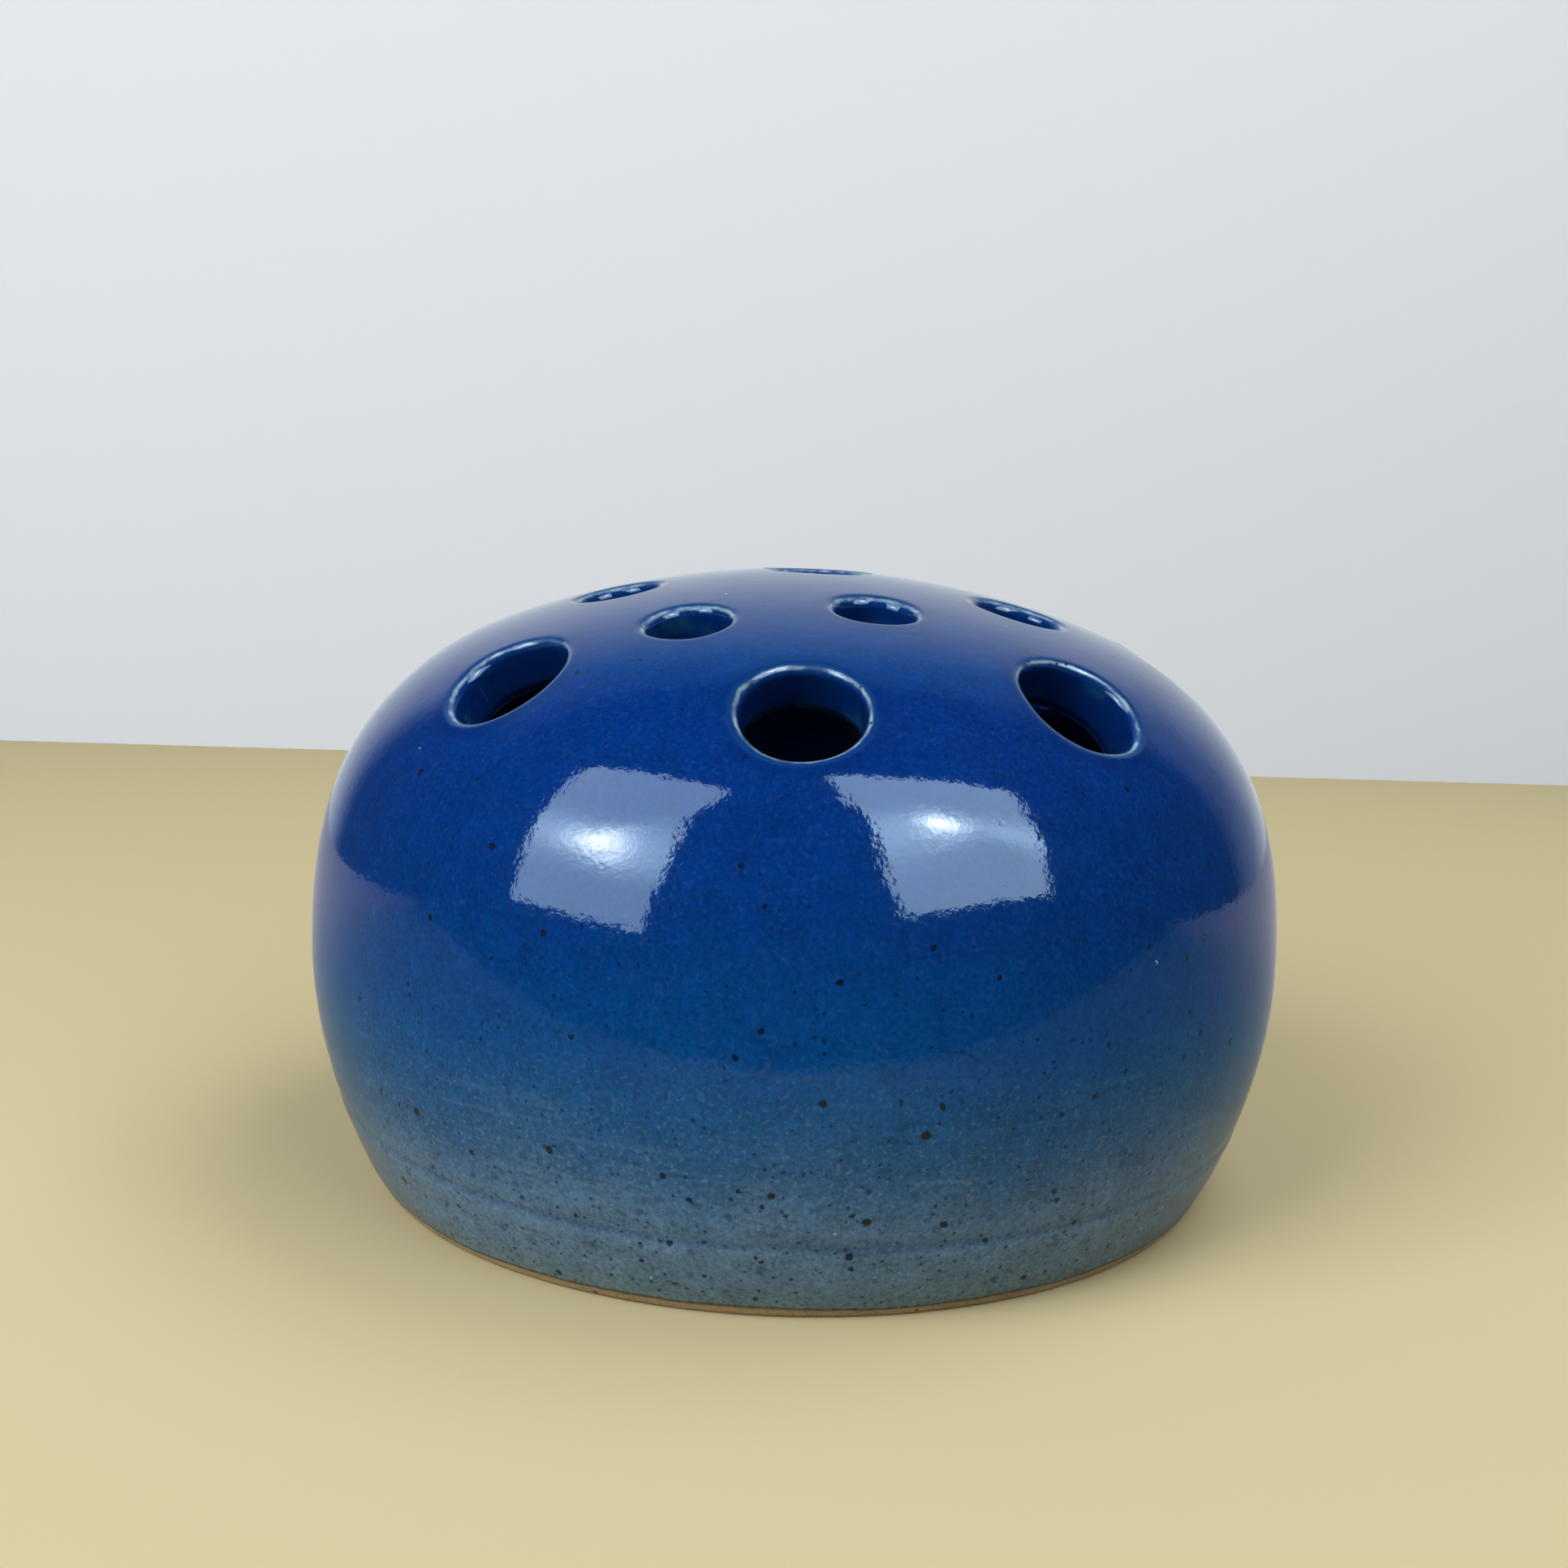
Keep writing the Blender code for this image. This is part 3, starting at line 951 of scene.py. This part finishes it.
def cobalt_glaze():
    """Glossy cobalt that thins to a misty grey-blue low on the wall, over speckled clay."""
    nodes = Finish("cobalt_glaze")
    height = nodes.height()
    lowness = nodes.fall(height, 6.0, 34.0)
    grain = nodes.noise(0.55, 3.0, roughness=0.65)
    colour = mottled(nodes, coat_colour(nodes, height), grain, lowness)
    colour, coarse, ring = speckled(nodes, wheel_marked(nodes, colour), lowness)
    nodes.give("Base Color", broken_at_rims(nodes, colour))

    # A smooth melt with faint orange peel, satin where it thins at the foot
    rough = nodes.line(nodes.noise(1.8, 3.0), 0.04, 0.035)
    rough = nodes.line(nodes.fall(height, 1.2, 9.0), 0.16, rough)
    nodes.give("Roughness", nodes.line(ring, 0.05, rough))
    peel = nodes.times(nodes.noise(1.1, 2.0), 0.016)
    peel = nodes.line(nodes.noise(0.42, 2.0), 0.0060, peel)
    tooth = nodes.times(nodes.times(grain, lowness), 0.012)
    pits = nodes.times(nodes.math("MAXIMUM", coarse, ring), -0.007)
    nodes.relief(nodes.math("ADD", nodes.math("ADD", peel, tooth), pits))
    nodes.give("IOR", 1.47)
    nodes.give("Specular Tint", (0.62, 0.84, 1.0))
    return nodes.material


def liner_glaze():
    """Darker glossy blue, clouded deep and thin, with dark specks."""
    nodes = Finish("liner_glaze")
    colour = nodes.mix(nodes.noise(6.0, 4.0), LINER_DEEP, LINER_THIN)
    nodes.give("Base Color", nodes.layer(colour, nodes.spots(2.2, 0.4, 0.4, 5.1), 0.8, LINER_SPECK))
    nodes.give("Roughness", nodes.line(nodes.noise(2.5, 3.0), 0.12, 0.06))
    nodes.relief(nodes.times(nodes.noise(3.0, 2.0), 0.03))
    return nodes.material


def bare_stoneware():
    """Toasted, gritty clay, darker along the very edge of the glaze."""
    nodes = Finish("bare_stoneware")
    grit = nodes.noise(0.35, 4.0, roughness=0.7)
    colour = nodes.mix(nodes.noise(5.0, 4.0), CLAY_DARK, CLAY_PALE)
    colour = nodes.scaled(colour, nodes.line(grit, 1.5, 0.25))
    colour = nodes.layer(colour, nodes.spots(1.5, 0.3, 0.4, 7.7), 0.85, CLAY_IRON)
    colour = nodes.layer(colour, nodes.rise(nodes.height(), 0.7, 1.3), 0.6, SCORCH)
    nodes.give("Base Color", colour)
    nodes.give("Roughness", 0.85)
    nodes.relief(nodes.times(grit, 0.12))
    return nodes.material


# ---- stage, light and camera

TABLE = (0.312, 0.262, 0.148)
PLASTER = (0.400, 0.405, 0.425)
STAGE_REACH = 6.0               # metres
WALL_BEHIND = 0.342             # metres from the axis to the wall behind
TABLE_FRONT = -147.0            # where the table ends towards the viewer, in reflections
BACKDROP = (0.715, 0.720, 0.745)
FILL = 0.38
FILL_COLOUR = (0.92, 0.95, 1.0)

# What reflections see of the room, the wall and the table
ROOM_FRONT = (0.036, 0.050, 0.066)
LOW_IN_GLOSS = (0.74, 0.81, 0.84)
HIGH_IN_GLOSS = (0.16, 0.42, 0.68)
HIGH_SIDE_IN_GLOSS = (0.30, 0.50, 0.70)
SIDE_IN_GLOSS = (0.26, 0.34, 0.48)
TABLE_DIMMED = 0.45
TABLE_FAR = (0.46, 0.46, 0.56)
TABLE_ASIDE = (0.05, 0.16, 0.22)

# What the camera sees of the table far off, and where that begins and ends
TABLE_FAR_OFF = (0.60, 0.53, 0.33)
FAR_OFF = (430.0, 950.0)

# Softboxes as seen from the frog: (azimuth, elevation) of the corners
LEFT_BOX = [(-73, 51), (-23, 57), (-32, 7), (-64, 8)]
RIGHT_BOX = [(11, 65), (68, 47), (58, 15), (23, 14)]
TOP_BOX = [(60, 45), (150, 45), (150, 80), (60, 80)]
BOX_DISTANCE = 0.85             # metres
LAMP_BEHIND = 1.02              # the lamp lies this much further off than what the gloss sees
BOX_POWER = 7.0
LEFT_SHARE = 0.84
LEFT_LIGHT = 12.5
RIGHT_LIGHT = 5.0
TOP_LIGHT = 8.0
LAMP_COLOUR = (0.90, 0.95, 1.0)
BOX_COLOUR = (0.86, 0.94, 1.0)
SPOT_COLOUR = (1.20, 1.0, 0.86)
LEFT_SPOT = (0.5, 0.47)         # where the hot spot is, as a share of the box
LEFT_BREADTH = 0.21
RIGHT_SPOT = (0.40, 0.47)
RIGHT_BREADTH = 0.12

# The camera that took the picture, solved from the frog's outline
CAMERA_PLACE = (-0.806, -222.216, 81.938)
CAMERA_PITCH = radians(8.946)   # downwards
CAMERA_YAW = radians(-0.2436)
CAMERA_ROLL = radians(1.6195)
LENS = 40.60
SENSOR = 36.0


def plain_sheet(name, corners, material):
    """Make one flat sheet of the stage."""
    mesh = bpy.data.meshes.new(name)
    mesh.from_pydata(corners, [], [tuple(range(len(corners)))])
    mesh.uv_layers.new(name="UVMap")
    for loop, place in zip(mesh.uv_layers[0].data, ((0, 1), (1, 1), (1, 0), (0, 0))):
        loop.uv = place
    item = bpy.data.objects.new(name, mesh)
    item.data.materials.append(material)
    bpy.context.scene.collection.objects.link(item)
    return item


def matt(nodes, colour, roughness):
    """Make a stage surface matt, with no reflections of its own."""
    nodes.give("Base Color", colour)
    nodes.give("Roughness", roughness)
    nodes.give("Specular IOR Level", 0.0)


def stay_pale_far_off(nodes, colour):
    """Keep a stage surface as pale far off as it is near the frog, for the camera only."""
    away = nodes.vector("DISTANCE", nodes.place, (0.0, 0.0, 0.0))
    nodes.show_to("Is Camera Ray", nodes.rise(away, *FAR_OFF), nodes.light(colour))


def table_material():
    """Plain pale table. In reflections it is dimmer, and ends at the edge nearest the viewer."""
    nodes = Finish("plain_table")
    matt(nodes, TABLE, 0.8)
    side, back, _ = nodes.split(nodes.place)
    beyond = nodes.math("LESS_THAN", back, TABLE_FRONT)
    aside = nodes.rise(nodes.math("ABSOLUTE", side), 40.0, 120.0)
    share = nodes.line(aside, 0.30, TABLE_DIMMED)
    nearer = nodes.mix(nodes.math("SUBTRACT", aside, beyond), ROOM_FRONT, TABLE_ASIDE)
    seen = nodes.mix(nodes.rise(back, -20.0, 160.0), nearer, TABLE_FAR)
    nodes.show_to("Is Glossy Ray", nodes.math("MAXIMUM", beyond, share), nodes.light(seen))
    stay_pale_far_off(nodes, TABLE_FAR_OFF)
    return nodes.material


def plaster_material():
    """Plain off-white wall. In reflections it is bluer high up and aside, and ends on both sides."""
    nodes = Finish("plain_wall")
    matt(nodes, PLASTER, 0.9)
    side, _, up = nodes.split(nodes.place)
    off_axis = nodes.math("ABSOLUTE", side)
    sideways = nodes.rise(off_axis, 200.0, 500.0)
    low = nodes.mix(sideways, LOW_IN_GLOSS, SIDE_IN_GLOSS)
    high = nodes.mix(sideways, HIGH_IN_GLOSS, HIGH_SIDE_IN_GLOSS)
    pale = nodes.mix(nodes.rise(up, 160.0, 650.0), low, high)
    ends = nodes.math("MAXIMUM", nodes.fall(side, -490.0, -310.0), nodes.rise(side, 470.0, 720.0))
    ends = nodes.times(ends, nodes.fall(nodes.math("DIVIDE", up, off_axis), 0.80, 1.40))
    dark = nodes.math("MAXIMUM", ends, nodes.rise(up, 450.0, 1500.0))
    nodes.show_to("Is Glossy Ray", 1.0, nodes.light(nodes.mix(dark, pale, ROOM_FRONT)))
    stay_pale_far_off(nodes, BACKDROP)
    return nodes.material


def bell(nodes, value, width):
    """Return a value that falls off smoothly from 1 on both sides of nothing."""
    squared = nodes.times(value, value)
    return nodes.math("EXPONENT", nodes.times(squared, -1.0 / width ** 2))


def softbox_material(name, power, spot, breadth):
    """Even light with a brighter band and a hot spot, whose place is a share of the box."""
    nodes = Finish(name)
    nodes.tree.nodes.remove(nodes.shader)
    corner = nodes.add("TexCoord").outputs["UV"]
    across, up, _ = nodes.split(nodes.vector("SUBTRACT", corner, (*spot, 0.0)))
    hot = nodes.times(bell(nodes, across, breadth), bell(nodes, up, 0.08))
    total = nodes.line(bell(nodes, up, 0.13), 0.70, 1.0)
    total = nodes.line(hot, 4.2, total)
    colour = nodes.mix(hot, BOX_COLOUR, SPOT_COLOUR)
    nodes.show(nodes.light(colour, nodes.times(total, power)))
    return nodes.material


def even_light(name, power):
    """Make even light."""
    nodes = Finish(name)
    nodes.tree.nodes.remove(nodes.shader)
    nodes.show(nodes.light(LAMP_COLOUR, power))
    return nodes.material


def direction(azimuth, elevation):
    """Return the unit vector towards an azimuth from the front and an elevation, in degrees."""
    a = radians(azimuth)
    e = radians(elevation)
    return Vector((sin(a) * cos(e), -cos(a) * cos(e), sin(e)))


def placed(corners, distance):
    """Return the corners of a flat sheet seen from the frog in the given directions."""
    centre = Vector((0.0, 0.0, HEIGHT / 2 * MILLIMETRE))
    ways = [direction(*corner) for corner in corners]
    aim = sum(ways, Vector()).normalized()
    return [centre + way * (distance / way.dot(aim)) for way in ways]


def add_reflection(name, corners, power, spot, breadth):
    """Add a softbox that shows in the gloss and gives no other light."""
    box = plain_sheet(name, placed(corners, BOX_DISTANCE), softbox_material(name, power, spot, breadth))
    box.visible_camera = False
    box.visible_diffuse = False
    box.visible_shadow = False


def add_lamp(name, corners, power):
    """Add an even sheet of light that does not show in the gloss."""
    lamp = plain_sheet(name, placed(corners, BOX_DISTANCE * LAMP_BEHIND), even_light(name, power))
    lamp.visible_camera = False
    lamp.visible_glossy = False
    lamp.visible_shadow = False


def add_world():
    """Light the scene softly. Gloss sees a dim room in front and a pale one behind and above."""
    world = bpy.data.worlds.new("studio")
    bpy.context.scene.world = world
    world.use_nodes = True
    nodes = Nodes(world.node_tree, "World Output")
    fill = nodes.tree.nodes["Background"]
    nodes.socket(fill.inputs["Color"], FILL_COLOUR)
    nodes.socket(fill.inputs["Strength"], FILL)
    _, back, up = nodes.split(nodes.add("TexCoord").outputs["Generated"])
    pale = nodes.math("MAXIMUM", nodes.rise(up, 0.97, 1.0), nodes.rise(back, 0.15, 0.45))
    room = nodes.mix(pale, ROOM_FRONT, HIGH_IN_GLOSS)
    for ray, colour in (("Is Glossy Ray", room), ("Is Camera Ray", BACKDROP)):
        seen = nodes.add("Background")
        nodes.socket(seen.inputs["Color"], colour)
        nodes.show_to(ray, 1.0, seen.outputs[0])


def add_stage():
    """Add the table, the wall behind and the lights."""
    far = STAGE_REACH
    seam = [(-far, WALL_BEHIND, 0.0), (far, WALL_BEHIND, 0.0)]
    plain_sheet("table", [*seam, (far, -far, 0.0), (-far, -far, 0.0)], table_material())
    plain_sheet("wall_behind", [*seam, (far, WALL_BEHIND, far), (-far, WALL_BEHIND, far)], plaster_material())
    add_reflection("softbox_left", LEFT_BOX, LEFT_SHARE * BOX_POWER, LEFT_SPOT, LEFT_BREADTH)
    add_reflection("softbox_right", RIGHT_BOX, BOX_POWER, RIGHT_SPOT, RIGHT_BREADTH)
    add_lamp("lamp_left", LEFT_BOX, LEFT_LIGHT)
    add_lamp("lamp_right", RIGHT_BOX, RIGHT_LIGHT)
    add_lamp("lamp_top", TOP_BOX, TOP_LIGHT)
    add_world()


def add_camera():
    """Add the camera where the picture was taken from."""
    data = bpy.data.cameras.new("camera")
    data.sensor_width = SENSOR
    data.lens = LENS
    data.clip_start = 0.01
    camera = bpy.data.objects.new("camera", data)
    bpy.context.scene.collection.objects.link(camera)
    forward = Vector((sin(CAMERA_YAW) * cos(CAMERA_PITCH), cos(CAMERA_YAW) * cos(CAMERA_PITCH),
                      -sin(CAMERA_PITCH)))
    level_right = Vector((cos(CAMERA_YAW), -sin(CAMERA_YAW), 0.0))
    level_up = level_right.cross(forward)
    right = level_right * cos(CAMERA_ROLL) + level_up * sin(CAMERA_ROLL)
    up = level_up * cos(CAMERA_ROLL) - level_right * sin(CAMERA_ROLL)
    turn = Matrix((right, up, -forward)).transposed().to_4x4()
    camera.matrix_world = Matrix.Translation(Vector(CAMERA_PLACE) * MILLIMETRE) @ turn
    bpy.context.scene.camera = camera


def main():
    """Make the pieces, dress them and set the scene."""
    bpy.context.scene.view_settings.view_transform = "Standard"
    add_camera()
    add_stage()
    outside = finished_outline()
    inside = hollow_line(outside, WALL, FLOOR)
    holes = stem_holes(outside)
    for piece, material, node, slot in (
        (make_outer_coat(outside, inside, holes), cobalt_glaze(), "outer_glaze", "blue_glaze"),
        (make_liner(inside, holes), liner_glaze(), "liner_glaze", "liner_blue"),
        (make_pot(outside), bare_stoneware(), "clay_body", "stoneware"),
    ):
        piece.data.materials.append(material)
        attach(piece, "root")
        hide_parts(node)


main()
